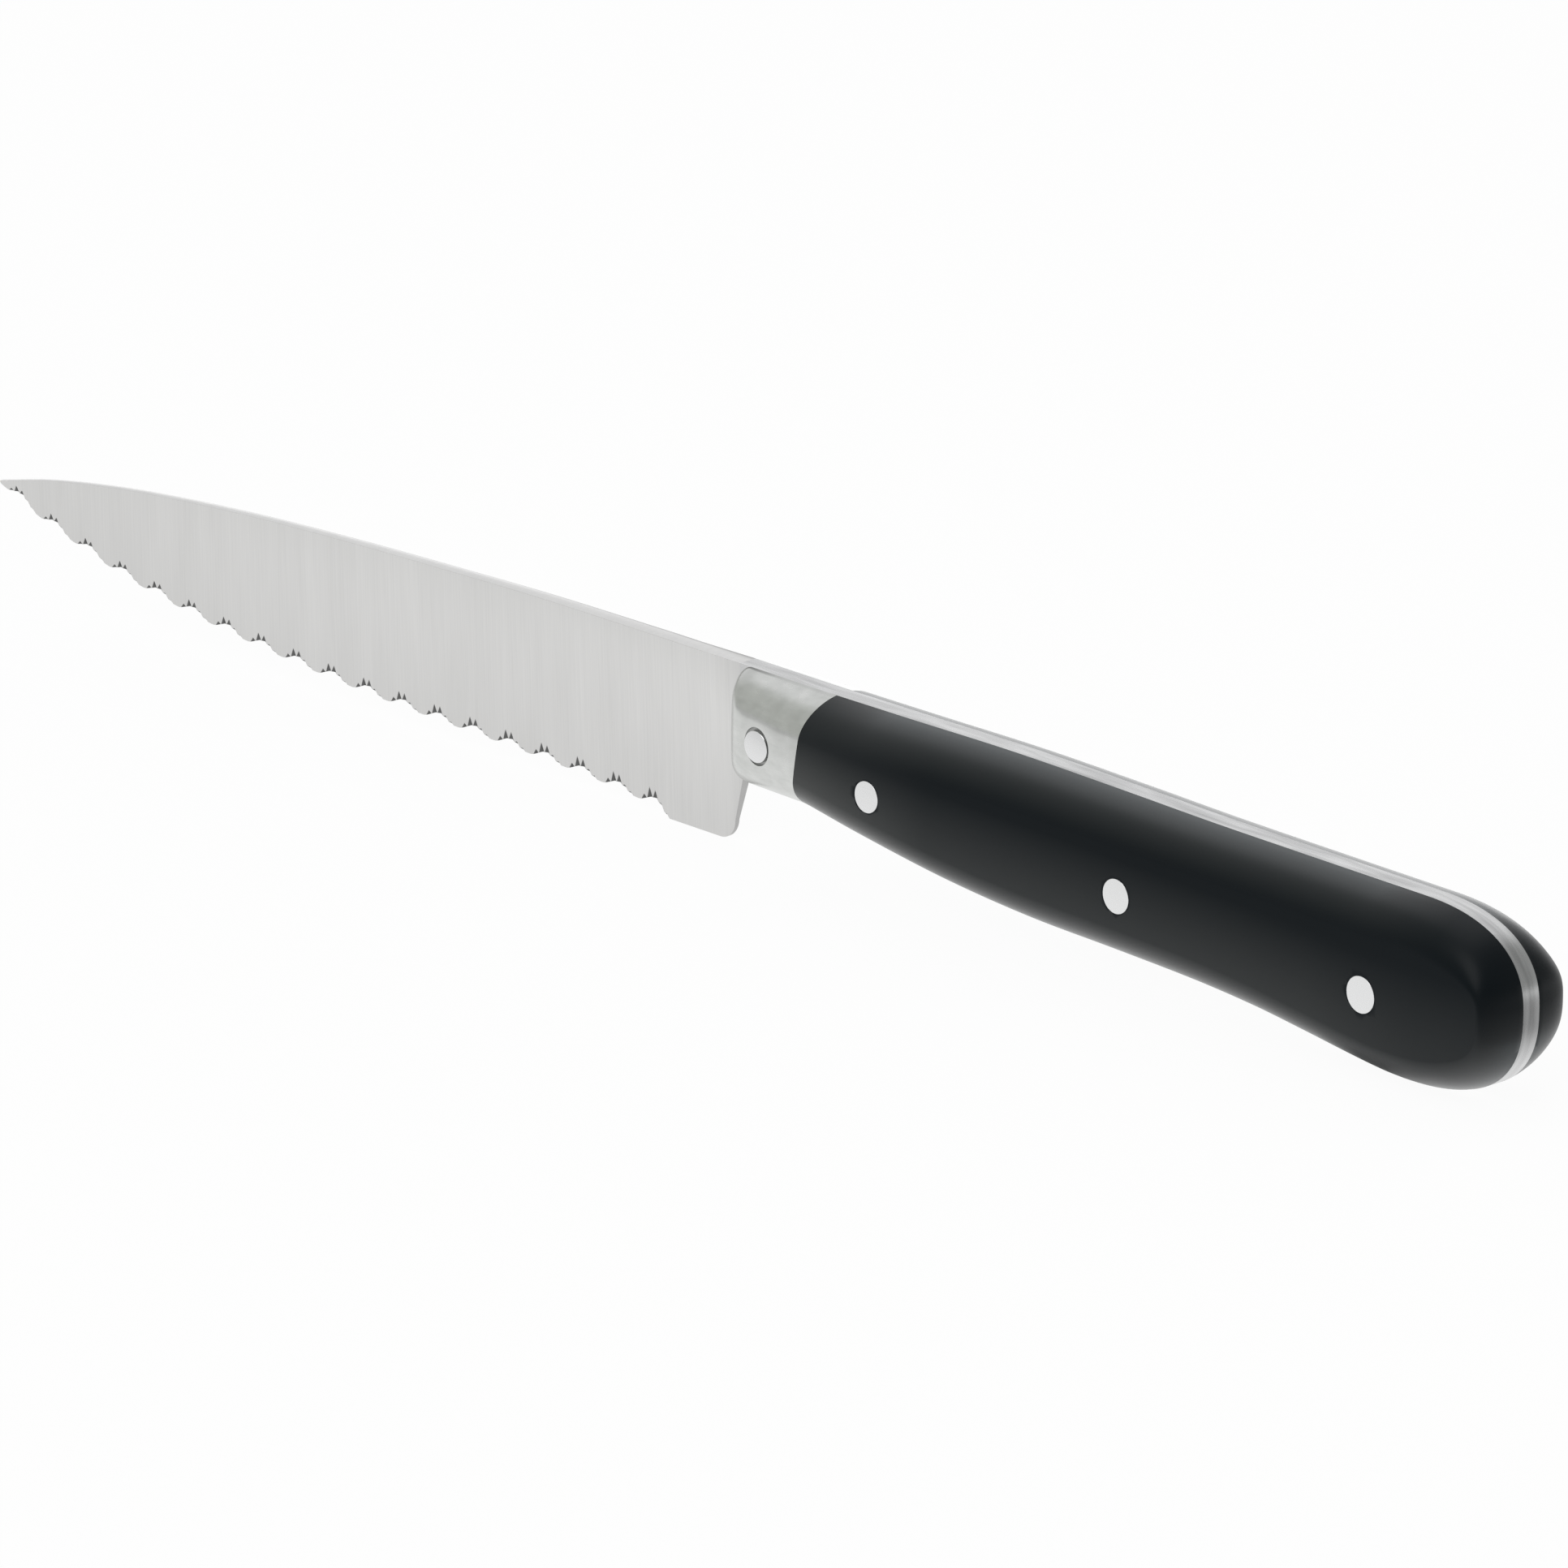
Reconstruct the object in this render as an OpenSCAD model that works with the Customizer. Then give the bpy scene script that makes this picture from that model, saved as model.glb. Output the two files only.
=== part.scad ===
// Steak knife with a full tang, riveted bolsters and black handle scales.
// One steel piece runs from the tip to the butt. Two bolsters and two scales
// lie against its sides, and four pins hold them there.
// X runs along the knife with the tip at -X, Y is its thickness and Z is up,
// with the edge below. The near side is -Y.

/* [Blade] */
// Length of the blade from its tip to the front of the bolsters
blade_len = 114; // [95:1:130]
// Depth of the blade at its heel, measured from the spine
heel_depth = 19.5; // [17.5:0.1:23]
// How far the spine drops from the handle to the tip
tip_drop = 7.5; // [5:0.1:10]
// Thickness of the steel in the tang and at the root of the spine
steel_t = 2.2; // [1.6:0.1:3]
// Thickness of the spine at the tip
tip_t = 0.7; // [0.6:0.05:1.4]
// Thickness of the cutting edge
edge_t = 0.35; // [0.25:0.01:0.55]
// Height of the blunt end at the tip
tip_blunt = 0.35; // [0.2:0.05:0.8]
// How far the back of the heel leans forward on its way down
heel_lean = 1.4; // [0.4:0.1:3]
// Radius of the corner under the heel
heel_round = 2.3; // [1:0.1:4]

/* [Serration] */
// Number of arches along the edge
arch_count = 19; // [10:1:20]
// Width of one arch, where it fades into the lobes on both sides
arch_w = 4.9; // [3:0.1:5.1]
// Depth of one arch
arch_depth = 0.75; // [0.3:0.05:0.9]
// Length of plain edge from the bolsters to the last arch
heel_plain = 11.1; // [9:0.1:16]
// Length of plain edge between the tip and the first arch
tip_plain = 0.75; // [0.5:0.05:3]
// How far the plain edge at the heel lies below the last tooth
heel_step = 0.9; // [0.3:0.1:1.4]
// Distance between the grooves of one arch
groove_pitch = 0.85; // [0.6:0.05:0.9]
// How far the grooves of an arch are shifted towards the handle
groove_shift = 0.2; // [0:0.05:0.3]
// Height of the tallest groove of an arch, at the heel end
groove_h = 1.25; // [0.5:0.05:1.6]
// Depth of a groove where it meets the edge
groove_depth = 0.2; // [0.1:0.01:0.24]
// Width of a groove where it meets the edge
groove_w = 0.8; // [0.3:0.05:0.85]

/* [Handle] */
// Length of the handle from the front of the bolsters to the butt
handle_len = 111; // [100:1:125]
// Thickness of the handle over both scales
handle_t = 11.8; // [9.5:0.1:15]
// Depth of the handle at its deepest place, near the butt
belly_depth = 19.4; // [17:0.1:23]
// Length of the rounded end at the butt
butt_len = 14.1; // [11:0.1:18]
// How far the widest place of the butt lies below the spine
butt_z = 9; // [7.5:0.1:10]
// Height of the slight hump on top of the grip
hump_h = 0.3; // [0:0.05:0.8]
// Height of the rounding along the top and the underside
side_round = 4; // [2:0.1:4.5]
// Length of the rounding over the end of a scale
end_round = 1.8; // [1:0.1:3.5]

/* [Bolster] */
// Length of a bolster at half its depth
bolster_len = 13.2; // [11:0.1:18]
// Depth of a bolster
bolster_depth = 12.1; // [10.5:0.1:14]
// How much longer a bolster is at its top than at its underside
bolster_slant = 1.9; // [0:0.1:3]
// Radius of the front corners of a bolster, seen from the side
bolster_round = 2; // [1:0.1:3]
// Gap between a bolster and its scale
seam_gap = 0.04; // [0.01:0.01:0.1]

/* [Rivets] */
// Diameter of the front rivet in the scales
front_rivet_d = 3.3; // [2.5:0.1:4]
// Diameter of the middle rivet in the scales
middle_rivet_d = 3.6; // [2.5:0.1:4]
// Diameter of the rear rivet in the scales
rear_rivet_d = 3.8; // [2.5:0.1:4.2]
// Diameter of the rivet in the bolsters
bolster_rivet_d = 3.3; // [2.8:0.1:3.8]
// Clearance round a rivet, on the radius
rivet_gap = 0.02; // [0.01:0.01:0.05]
// How far the three rivets lie below the surface of the scales
rivet_sink = 0.03; // [0:0.01:0.1]
// How far the rivet in the bolsters stands proud of their surface
bolster_rivet_proud = 0.2; // [0.05:0.05:0.3]
// Size of the bevel round each end of the rivet in the bolsters
rivet_bevel = 0.05; // [0.05:0.05:0.3]
// Width of the groove round that rivet
ring_w = 0.35; // [0.1:0.05:0.45]
// Depth of the groove round that rivet
ring_depth = 0.35; // [0.1:0.05:0.6]
// Distance from the front of the bolsters to their rivet
bolster_rivet_x = 7.1; // [6:0.1:7.5]
// Distance from the front of the bolsters to the front rivet
front_rivet_x = 23.5; // [21:0.5:30]
// Distance from the front of the bolsters to the middle rivet
middle_rivet_x = 59.2; // [45:0.2:65]
// Distance from the front of the bolsters to the rear rivet
rear_rivet_x = 93.4; // [80:0.2:94]

/* [Hidden] */

// How far every cut runs past what it cuts
over = 1;

// Lines of the blade as shares of its length and depth, from share 0 to 1
spine_shares = [[0, 0], [0.18, 0.026], [0.33, 0.088], [0.47, 0.16], [0.62, 0.273],
                [0.77, 0.452], [0.86, 0.61], [0.93, 0.775], [1, 1]];
edge_shares = [[0, 0], [0.06, 0.205], [0.12, 0.36], [0.2, 0.53], [0.3, 0.67], [0.4, 0.765],
               [0.52, 0.842], [0.64, 0.884], [0.78, 0.905], [0.9, 0.937], [0.97, 0.98], [1, 1]];
// Top of the grip from the bolsters to the butt, with share 1 on the hump
hump_shares = [[0, 0], [0.14, 0.4], [0.32, 1], [0.5, 0.4], [0.65, -0.4], [0.85, -0.8], [1, -1]];
// Underside of the grip from the bolsters to the deepest place
belly_shares = [[0, 0], [0.1, 0.19], [0.24, 0.405], [0.38, 0.53], [0.53, 0.575], [0.66, 0.625],
                [0.76, 0.705], [0.84, 0.81], [0.92, 0.925], [0.97, 0.985], [1, 1]];
// Thickness of a bolster from its thin front to the scale
swell_shares = [[0, 0], [0.06, 0.3], [0.15, 0.6], [0.27, 0.79], [0.5, 0.88], [0.8, 0.97], [1, 1]];
// Share of the blade, from the bolsters, along which the spine is straight
straight_share = 0.1;
// Shares of the handle's depth at which the rivets lie, from the front to the rear
rivet_depth_shares = [0.532, 0.545, 0.545];
bolster_rivet_share = 0.51;
// Heights of the grooves of one arch, from the tip's side, as shares of the tallest
groove_shares = [0.45, 1, 0.65, 0.3, 0.2];
// Height of the grooves nearest to the tip as a share of those at the heel
tip_groove_share = 0.45;
// How far the ground wedge runs past the blade, as a share of the depth there
past_share = 0.1;
// Roundness of the butt above and below its widest place, 2 being an ellipse
butt_power_top = 2.4;
butt_power_low = 2.5;

blade_steps = 56;
arch_steps = 16;
butt_steps = 12;
grip_steps = 26;
round_steps = 8;
bolster_steps = 14;
corner_steps = 8;

half_steel = steel_t / 2;
half_handle = handle_t / 2;
scale_t = half_handle - half_steel;
// The rounding of the handle runs on over the steel, up to this turn from its middle plane
steel_turn = asin(half_steel / half_handle);

// Place of the knife's middle, measured from the spine at the front of the bolsters
centre_x = (handle_len - blade_len) / 2;
centre_z = (hump_h - max(heel_depth, belly_depth)) / 2;

// The serrated stretch, with X negative towards the tip
last_arch_x = -heel_plain - arch_w / 2;
first_arch_x = -blade_len + tip_plain + arch_w / 2;
arch_pitch = (last_arch_x - first_arch_x) / (arch_count - 1);
teeth_depth = heel_depth - heel_step;

// The face between bolster and scale
slant_angle = atan(bolster_slant / bolster_depth);
seam_low_x = bolster_len - bolster_slant / 2;
butt_x = handle_len - butt_len;

// Smooth curve through a list of [place, value] pairs
function slot_of(p, x) = max([for (i = [0:len(p) - 2]) if (i == 0 || x >= p[i][0]) i]);
function rise(a, b) = (b[1] - a[1]) / (b[0] - a[0]);
function slope_of(p, i) = rise(p[max(i - 1, 0)], p[min(i + 1, len(p) - 1)]);
function blend(a, b, ma, mb, w, t) =
    a * (1 + 2 * t) * pow(1 - t, 2) + b * (3 - 2 * t) * t * t
    + w * (ma * t * pow(1 - t, 2) - mb * (1 - t) * t * t);
function span_value(p, i, x) =
    blend(p[i][1], p[i + 1][1], slope_of(p, i), slope_of(p, i + 1), p[i + 1][0] - p[i][0],
          (x - p[i][0]) / (p[i + 1][0] - p[i][0]));
function curve(p, x) = span_value(p, slot_of(p, x), min(max(x, p[0][0]), p[len(p) - 1][0]));
function mix(a, b, t) = a + (b - a) * t;

// Lines of the blade
straight_x = -blade_len * straight_share;
function spine_z(x) = x > straight_x ? 0
    : -tip_drop * curve(spine_shares, (straight_x - x) / (straight_x + blade_len));
function teeth_z(x) =
    -mix(tip_drop + tip_blunt, teeth_depth, curve(edge_shares, (x + blade_len) / (last_arch_x + blade_len)));
function edge_z(x) = x < last_arch_x ? teeth_z(x)
    : -mix(teeth_depth, heel_depth, min((x - last_arch_x) / (arch_w / 2), 1));
function arch_x(i) = first_arch_x + i * arch_pitch;
function nearest_arch(x) = min(max(round((x - first_arch_x) / arch_pitch), 0), arch_count - 1);
function wave(u) = (1 + cos(180 * min(abs(u) / (arch_w / 2), 1))) / 2;
function wave_z(x) = x < last_arch_x ? teeth_z(x) + arch_depth * wave(x - arch_x(nearest_arch(x)))
    : mix(-heel_depth, arch_depth - teeth_depth, wave(x - last_arch_x));
function spine_half_t(x) = mix(tip_t, steel_t, min((x + blade_len) / blade_len, 1)) / 2;
function grind_slope(x) = (spine_half_t(x) - edge_t / 2) / (spine_z(x) - edge_z(x));

// Lines of the handle
function top_z(x) = x < bolster_len ? 0
    : hump_h * curve(hump_shares, (x - bolster_len) / (butt_x - bolster_len));
function underside_z(x) = x < seam_low_x ? -bolster_depth
    : -mix(bolster_depth, belly_depth, curve(belly_shares, (x - seam_low_x) / (butt_x - seam_low_x)));
rivet_xs = [front_rivet_x, middle_rivet_x, rear_rivet_x];
rivet_ds = [front_rivet_d, middle_rivet_d, rear_rivet_d];
function rivet_z(i) = underside_z(rivet_xs[i]) * rivet_depth_shares[i];

// One quarter of the butt, with power 2 for an ellipse, as turn goes from 0 to 90
function butt_point(turn, depth, power) =
    [butt_x + butt_len * pow(sin(turn), 2 / power), -butt_z + depth * pow(cos(turn), 2 / power)];

// Outline of the handle, along the top from start_x, round the butt and back
function handle_outline(start_x) = concat(
    [for (i = [0:grip_steps - 1]) let (x = mix(start_x, butt_x, i / grip_steps)) [x, top_z(x)]],
    [for (i = [0:butt_steps])
        butt_point(i * 90 / butt_steps, butt_z + top_z(butt_x), butt_power_top)],
    [for (i = [butt_steps - 1:-1:0])
        butt_point(i * 90 / butt_steps, butt_z - belly_depth, butt_power_low)],
    [for (i = [grip_steps - 1:-1:0]) let (x = mix(start_x, butt_x, i / grip_steps)) [x, underside_z(x)]]);

// Outward normal of an outline that runs clockwise
function outward(p, i) =
    let (a = p[max(i - 1, 0)], b = p[min(i + 1, len(p) - 1)], d = b - a)
    [-d[1], d[0]] / norm(d);

// The handle's rounding as turns from the steel to the side, and its drop at a turn
round_turns = [for (i = [0:round_steps]) mix(steel_turn, 90, i / round_steps)];
function round_drop(turn) = cos(steel_turn) - cos(turn);

// Half of the handle as rings, each one smaller than the one before
function scale_ring(p, turn) = [for (i = [0:len(p) - 1])
    let (n = outward(p, i), q = p[i] - round_drop(turn) * norm([end_round * n[0], side_round * n[1]]) * n)
    [q[0], -half_handle * sin(turn), q[1]]];

// Section of a bolster on its near side, from the top to the underside
function swell(x) = scale_t * curve(swell_shares, x / (bolster_len - bolster_slant / 2));
function corner_drop(x) = x > bolster_round ? 0
    : bolster_round - sqrt(pow(bolster_round, 2) - pow(bolster_round - x, 2));
function bolster_ring(x) =
    let (grow = swell(x) / scale_t, drop = corner_drop(x), low = -bolster_depth + drop)
    concat(
        [for (turn = round_turns)
            [x, -half_steel - grow * (half_handle * sin(turn) - half_steel),
             -drop - grow * side_round * round_drop(turn)]],
        [for (i = [round_steps:-1:0]) let (turn = round_turns[i])
            [x, -half_steel - grow * (half_handle * sin(turn) - half_steel),
             low + grow * side_round * round_drop(turn)]]);

// Section of the ground blade, a wedge that runs past the spine and the edge
function blade_ring(x, top, low, m) =
    let (past = (top - low) * past_share, wide = spine_half_t(x) + m * past,
         thin = edge_t / 2 - m * past)
    [[x, -thin, low - past], [x, thin, low - past], [x, wide, top + past], [x, -wide, top + past]];

// Triangles over the end of a skin, in pairs from the first point of a ring to the last
function cap(n) = [for (i = [0:ceil(n / 2) - 2])
    each i + 1 < n - 2 - i ? [[i, i + 1, n - 1 - i], [i + 1, n - 2 - i, n - 1 - i]]
        : [[i, i + 1, n - 1 - i]]];

// Closed skin over rings of equal length
module skin(rings) {
    n = len(rings[0]);
    last = len(rings) - 1;
    polyhedron(
        points = [for (r = rings) for (p = r) p],
        faces = concat(
            cap(n),
            [for (f = cap(n)) [for (i = [2:-1:0]) last * n + f[i]]],
            [for (k = [0:last - 1]) for (i = [0:n - 1]) let (j = (i + 1) % n)
                each [[k * n + j, k * n + i, (k + 1) * n + i],
                      [k * n + j, (k + 1) * n + i, (k + 1) * n + j]]]));
}

module from_centre() {
    translate([-centre_x, 0, -centre_z]) children();
}

module far_side() {
    mirror([0, 1, 0]) children();
}

// A flat shape in X and Z, thickened in Y about the middle of the knife
module across(t) {
    translate([0, t / 2, 0]) rotate([90, 0, 0]) linear_extrude(height = t) children();
}

// A pin or a hole through the knife
module pin(d, len) {
    rotate([90, 0, 0]) cylinder(d = d, h = len, center = true, $fn = 64);
}

module at_rivet(i) {
    translate([rivet_xs[i], 0, rivet_z(i)]) children();
}

module at_bolster_rivet() {
    translate([bolster_rivet_x, 0, -bolster_depth * bolster_rivet_share]) children();
}

module rivet_holes() {
    for (i = [0:len(rivet_xs) - 1])
        at_rivet(i) pin(rivet_ds[i] + 2 * rivet_gap, handle_t + 2 * over);
}

// Everything behind the face between bolster and scale, moved back by a gap
module behind_seam(gap) {
    translate([bolster_len + gap, 0, -bolster_depth / 2]) rotate([0, slant_angle, 0])
        translate([0, -handle_t, -handle_len]) cube([2 * handle_len, 2 * handle_t, 2 * handle_len]);
}

// Side view of the blade with the arches of its edge
module blade_outline() {
    corner = [-heel_lean - heel_round, -heel_depth + heel_round];
    steps = arch_count * arch_steps;
    polygon(concat(
        [for (i = [0:blade_steps]) let (x = mix(over, -blade_len, i / blade_steps)) [x, spine_z(x)]],
        [for (i = [0:steps]) let (x = mix(-blade_len, -heel_plain, i / steps)) [x, wave_z(x)]],
        [for (i = [0:corner_steps]) let (a = mix(-90, 0, i / corner_steps))
            corner + heel_round * [cos(a), sin(a)]],
        [[0, -bolster_depth], [over, -bolster_depth]]));
}

// A fine vee groove in the near face, which runs out above the edge
module groove(height, slope) {
    side = over * groove_w / (2 * groove_depth);
    rotate([atan(groove_depth / height + slope), 0, 0])
        translate([0, 0, -height - over])
            linear_extrude(height = height + 2 * over)
                polygon([[0, 0], [-side, -over], [side, -over]]);
}

module grooves() {
    last = len(groove_shares) - 1;
    for (i = [0:arch_count - 1]) for (k = [0:last]) {
        x = arch_x(i) + groove_shift + groove_pitch * (k - last / 2);
        height = groove_h * groove_shares[k] * mix(tip_groove_share, 1, i / (arch_count - 1));
        top = wave_z(x) + height;
        translate([x, -edge_t / 2 - grind_slope(x) * (top - edge_z(x)), top])
            groove(height, grind_slope(x));
    }
}

module ground_blade() {
    xs = [for (i = [0:blade_steps]) mix(-blade_len - over, over, i / blade_steps)];
    skin([for (x = xs) let (c = min(max(x, -blade_len), 0))
        blade_ring(x, spine_z(c), edge_z(c), grind_slope(c))]);
}

module blade() {
    color("silver") from_centre() difference() {
        union() {
            intersection() {
                ground_blade();
                across(steel_t + 2 * over) blade_outline();
            }
            across(steel_t) polygon(handle_outline(0));
        }
        grooves();
        rivet_holes();
        at_bolster_rivet() pin(bolster_rivet_d + 2 * rivet_gap, handle_t);
    }
}

module bolster() {
    ring_place = half_steel + swell(bolster_rivet_x) - ring_depth;
    difference() {
        skin([for (i = [0:bolster_steps])
            bolster_ring(mix(0, bolster_len + bolster_slant + over, pow(i / bolster_steps, 2)))]);
        behind_seam(0);
        at_bolster_rivet() pin(bolster_rivet_d + 2 * rivet_gap, handle_t);
        at_bolster_rivet() translate([0, -ring_place, 0]) rotate([90, 0, 0])
            cylinder(d = bolster_rivet_d + 2 * ring_w, h = scale_t, $fn = 64);
    }
}

module near_bolster() {
    color("lightgray") from_centre() bolster();
}

module far_bolster() {
    color("lightgray") from_centre() far_side() bolster();
}

module scale_piece() {
    outline = handle_outline(seam_low_x - over);
    difference() {
        intersection() {
            skin([for (i = [round_steps:-1:0]) scale_ring(outline, round_turns[i])]);
            behind_seam(seam_gap);
        }
        rivet_holes();
    }
}

module near_scale() {
    color("#202426") from_centre() scale_piece();
}

module far_scale() {
    color("#202426") from_centre() far_side() scale_piece();
}

module bolster_rivet() {
    len = steel_t + 2 * (swell(bolster_rivet_x) + bolster_rivet_proud);
    color("white") from_centre() at_bolster_rivet() {
        pin(bolster_rivet_d, len - 2 * rivet_bevel);
        for (side = [-90, 90])
            rotate([side, 0, 0]) translate([0, 0, len / 2 - rivet_bevel])
                cylinder(d1 = bolster_rivet_d, d2 = bolster_rivet_d - 2 * rivet_bevel,
                         h = rivet_bevel, $fn = 64);
    }
}

module scale_rivet(i) {
    color("white") from_centre() at_rivet(i) pin(rivet_ds[i], handle_t - 2 * rivet_sink);
}

module front_rivet() {
    scale_rivet(0);
}

module middle_rivet() {
    scale_rivet(1);
}

module rear_rivet() {
    scale_rivet(2);
}

blade();
near_bolster();
far_bolster();
near_scale();
far_scale();
bolster_rivet();
front_rivet();
middle_rivet();
rear_rivet();
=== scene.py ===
# %% [markdown]
# Steak knife with a full tang.
# The real knife is one flat piece of stainless steel with two steel bolsters, two black plastic scales
# and four rivets on its sides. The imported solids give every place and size. This script makes a finer
# mesh of each piece on the same lines, and then gives it the finish that the real one has.

# %% Load the frame
import math

import bpy
import numpy as np
from mathutils import Matrix, Vector


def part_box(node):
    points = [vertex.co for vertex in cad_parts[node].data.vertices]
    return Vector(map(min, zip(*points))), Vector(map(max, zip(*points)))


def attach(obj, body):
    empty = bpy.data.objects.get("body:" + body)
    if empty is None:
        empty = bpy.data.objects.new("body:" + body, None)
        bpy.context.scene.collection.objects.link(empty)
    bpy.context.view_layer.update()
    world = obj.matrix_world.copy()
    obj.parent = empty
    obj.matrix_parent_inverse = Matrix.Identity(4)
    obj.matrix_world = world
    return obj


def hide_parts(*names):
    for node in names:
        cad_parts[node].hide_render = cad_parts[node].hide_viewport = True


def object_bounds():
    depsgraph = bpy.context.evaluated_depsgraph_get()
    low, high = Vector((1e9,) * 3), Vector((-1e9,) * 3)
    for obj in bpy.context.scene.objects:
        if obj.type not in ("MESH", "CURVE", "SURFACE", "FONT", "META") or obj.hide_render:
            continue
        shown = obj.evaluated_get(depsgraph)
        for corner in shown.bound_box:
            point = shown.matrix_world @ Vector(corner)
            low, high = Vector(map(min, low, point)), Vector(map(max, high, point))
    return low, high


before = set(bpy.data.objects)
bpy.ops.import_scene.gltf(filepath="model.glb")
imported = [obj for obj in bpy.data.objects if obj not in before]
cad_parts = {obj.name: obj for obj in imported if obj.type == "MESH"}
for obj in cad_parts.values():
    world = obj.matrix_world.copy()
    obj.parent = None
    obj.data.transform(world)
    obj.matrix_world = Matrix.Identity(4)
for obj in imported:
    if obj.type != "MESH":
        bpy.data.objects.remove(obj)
cad_low, cad_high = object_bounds()
print("solids:", len(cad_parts), "overall", [round(1000 * v, 2) for v in cad_high - cad_low], "mm")

# %% [markdown]
# A knife is drawn from the side, so its shape is a few lines over its length. The lines are in
# millimetres, as on a drawing, with X at 0 where the bolsters start and Z at 0 on the spine.
# Working in the drawing's own numbers keeps them readable. They become metres when a mesh takes them.

# %% Sizes of the knife in millimetres
blade_len = 114.0
heel_depth = 19.5
tip_drop = 7.5
tip_blunt = 0.35
steel_t = 2.2
tip_t = 0.7
edge_t = 0.35
heel_lean = 1.4
heel_round = 2.3

arch_count = 19
arch_w = 4.9
arch_depth = 0.75
heel_plain = 11.1
tip_plain = 0.75
heel_step = 0.9

handle_len = 111.0
handle_t = 11.8
belly_depth = 19.4
butt_len = 14.1
butt_z = 9.0
hump_h = 0.3
side_round = 4.0
end_round = 1.8

bolster_len = 13.2
bolster_depth = 12.1
bolster_slant = 1.9
bolster_round = 2.0
seam_gap = 0.04

rivet_xs = {"front_rivet": 23.5, "middle_rivet": 59.2, "rear_rivet": 93.4}
rivet_ds = {"front_rivet": 3.3, "middle_rivet": 3.6, "rear_rivet": 3.8}
bolster_rivet_x = 7.1
bolster_rivet_d = 3.3
rivet_gap = 0.02
rivet_sink = 0.03
bolster_rivet_proud = 0.2
ring_w = 0.35
ring_depth = 0.35

half_steel = steel_t / 2
half_handle = handle_t / 2
scale_t = half_handle - half_steel
steel_turn = math.asin(half_steel / half_handle)
butt_x = handle_len - butt_len
seam_low_x = bolster_len - bolster_slant / 2
seam_slope = bolster_slant / bolster_depth

steel_low, steel_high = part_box("blade")
centre = np.array([-blade_len - 1000 * steel_low.x, 0.0, hump_h - 1000 * steel_high.z])
print("the middle of the knife lies at", np.round(centre, 2), "mm on the drawing")

# %% [markdown]
# The lines themselves are smooth curves through a few listed points. Each point is a share of the length
# and of the depth, so a line keeps its character when a size changes. A cubic between neighbouring
# points, with the slope taken from the points on both sides, gives a line without kinks.

# %% Lines of the blade and the handle
spine_shares = [[0, 0], [0.18, 0.026], [0.33, 0.088], [0.47, 0.16], [0.62, 0.273],
                [0.77, 0.452], [0.86, 0.61], [0.93, 0.775], [1, 1]]
edge_shares = [[0, 0], [0.06, 0.205], [0.12, 0.36], [0.2, 0.53], [0.3, 0.67], [0.4, 0.765],
               [0.52, 0.842], [0.64, 0.884], [0.78, 0.905], [0.9, 0.937], [0.97, 0.98], [1, 1]]
hump_shares = [[0, 0], [0.14, 0.4], [0.32, 1], [0.5, 0.4], [0.65, -0.4], [0.85, -0.8], [1, -1]]
belly_shares = [[0, 0], [0.1, 0.19], [0.24, 0.405], [0.38, 0.53], [0.53, 0.575], [0.66, 0.625],
                [0.76, 0.705], [0.84, 0.81], [0.92, 0.925], [0.97, 0.985], [1, 1]]
swell_shares = [[0, 0], [0.06, 0.3], [0.15, 0.6], [0.27, 0.79], [0.5, 0.88], [0.8, 0.97], [1, 1]]
straight_share = 0.1
rivet_depth_shares = {"front_rivet": 0.532, "middle_rivet": 0.545, "rear_rivet": 0.545}
bolster_rivet_share = 0.51
butt_power_top = 2.4
butt_power_low = 2.5


def curve(shares, place):
    """Smooth line through [place, value] pairs."""
    x, y = np.array(shares, float).T
    ids = np.arange(len(x))
    before, after = np.maximum(ids - 1, 0), np.minimum(ids + 1, len(x) - 1)
    slope = (y[after] - y[before]) / (x[after] - x[before])
    place = np.clip(place, x[0], x[-1])
    i = np.clip(np.searchsorted(x, place, side="right") - 1, 0, len(x) - 2)
    w = x[i + 1] - x[i]
    t = (place - x[i]) / w
    return (y[i] * (1 + 2 * t) * (1 - t) ** 2 + y[i + 1] * (3 - 2 * t) * t * t
            + w * (slope[i] * t * (1 - t) ** 2 - slope[i + 1] * (1 - t) * t * t))


def mix(a, b, t):
    return a + (b - a) * t


def ramp(value, start, run):
    """From 0 to 1 as the value goes from the start over the run."""
    return np.clip((value - start) / run, 0, 1)


straight_x = -blade_len * straight_share
last_arch_x = -heel_plain - arch_w / 2
teeth_depth = heel_depth - heel_step


def spine_z(x):
    place = (straight_x - x) / (straight_x + blade_len)
    return np.where(x > straight_x, 0, -tip_drop * curve(spine_shares, place))


def teeth_z(x):
    place = (x + blade_len) / (last_arch_x + blade_len)
    return -mix(tip_drop + tip_blunt, teeth_depth, curve(edge_shares, place))


def edge_z(x):
    heel = -mix(teeth_depth, heel_depth, ramp(x, last_arch_x, arch_w / 2))
    return np.where(x < last_arch_x, teeth_z(x), heel)


def heel_z(x):
    """The edge, with the rounded corner and the leaning back of the heel."""
    corner_x, corner_z = -heel_lean - heel_round, -heel_depth + heel_round
    corner = corner_z - np.sqrt(np.clip(heel_round ** 2 - (x - corner_x) ** 2, 0, None))
    back = mix(corner_z, -bolster_depth, ramp(x, -heel_lean, heel_lean))
    return np.where(x < corner_x, edge_z(x), np.where(x < -heel_lean, corner, back))


def top_z(x):
    return np.where(x < bolster_len, 0,
                    hump_h * curve(hump_shares, (x - bolster_len) / (butt_x - bolster_len)))


def underside_z(x):
    place = (x - seam_low_x) / (butt_x - seam_low_x)
    return np.where(x < seam_low_x, -bolster_depth,
                    -mix(bolster_depth, belly_depth, curve(belly_shares, place)))


def swell(x):
    """How far a bolster stands off the steel."""
    return scale_t * curve(swell_shares, x / seam_low_x)


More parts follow.
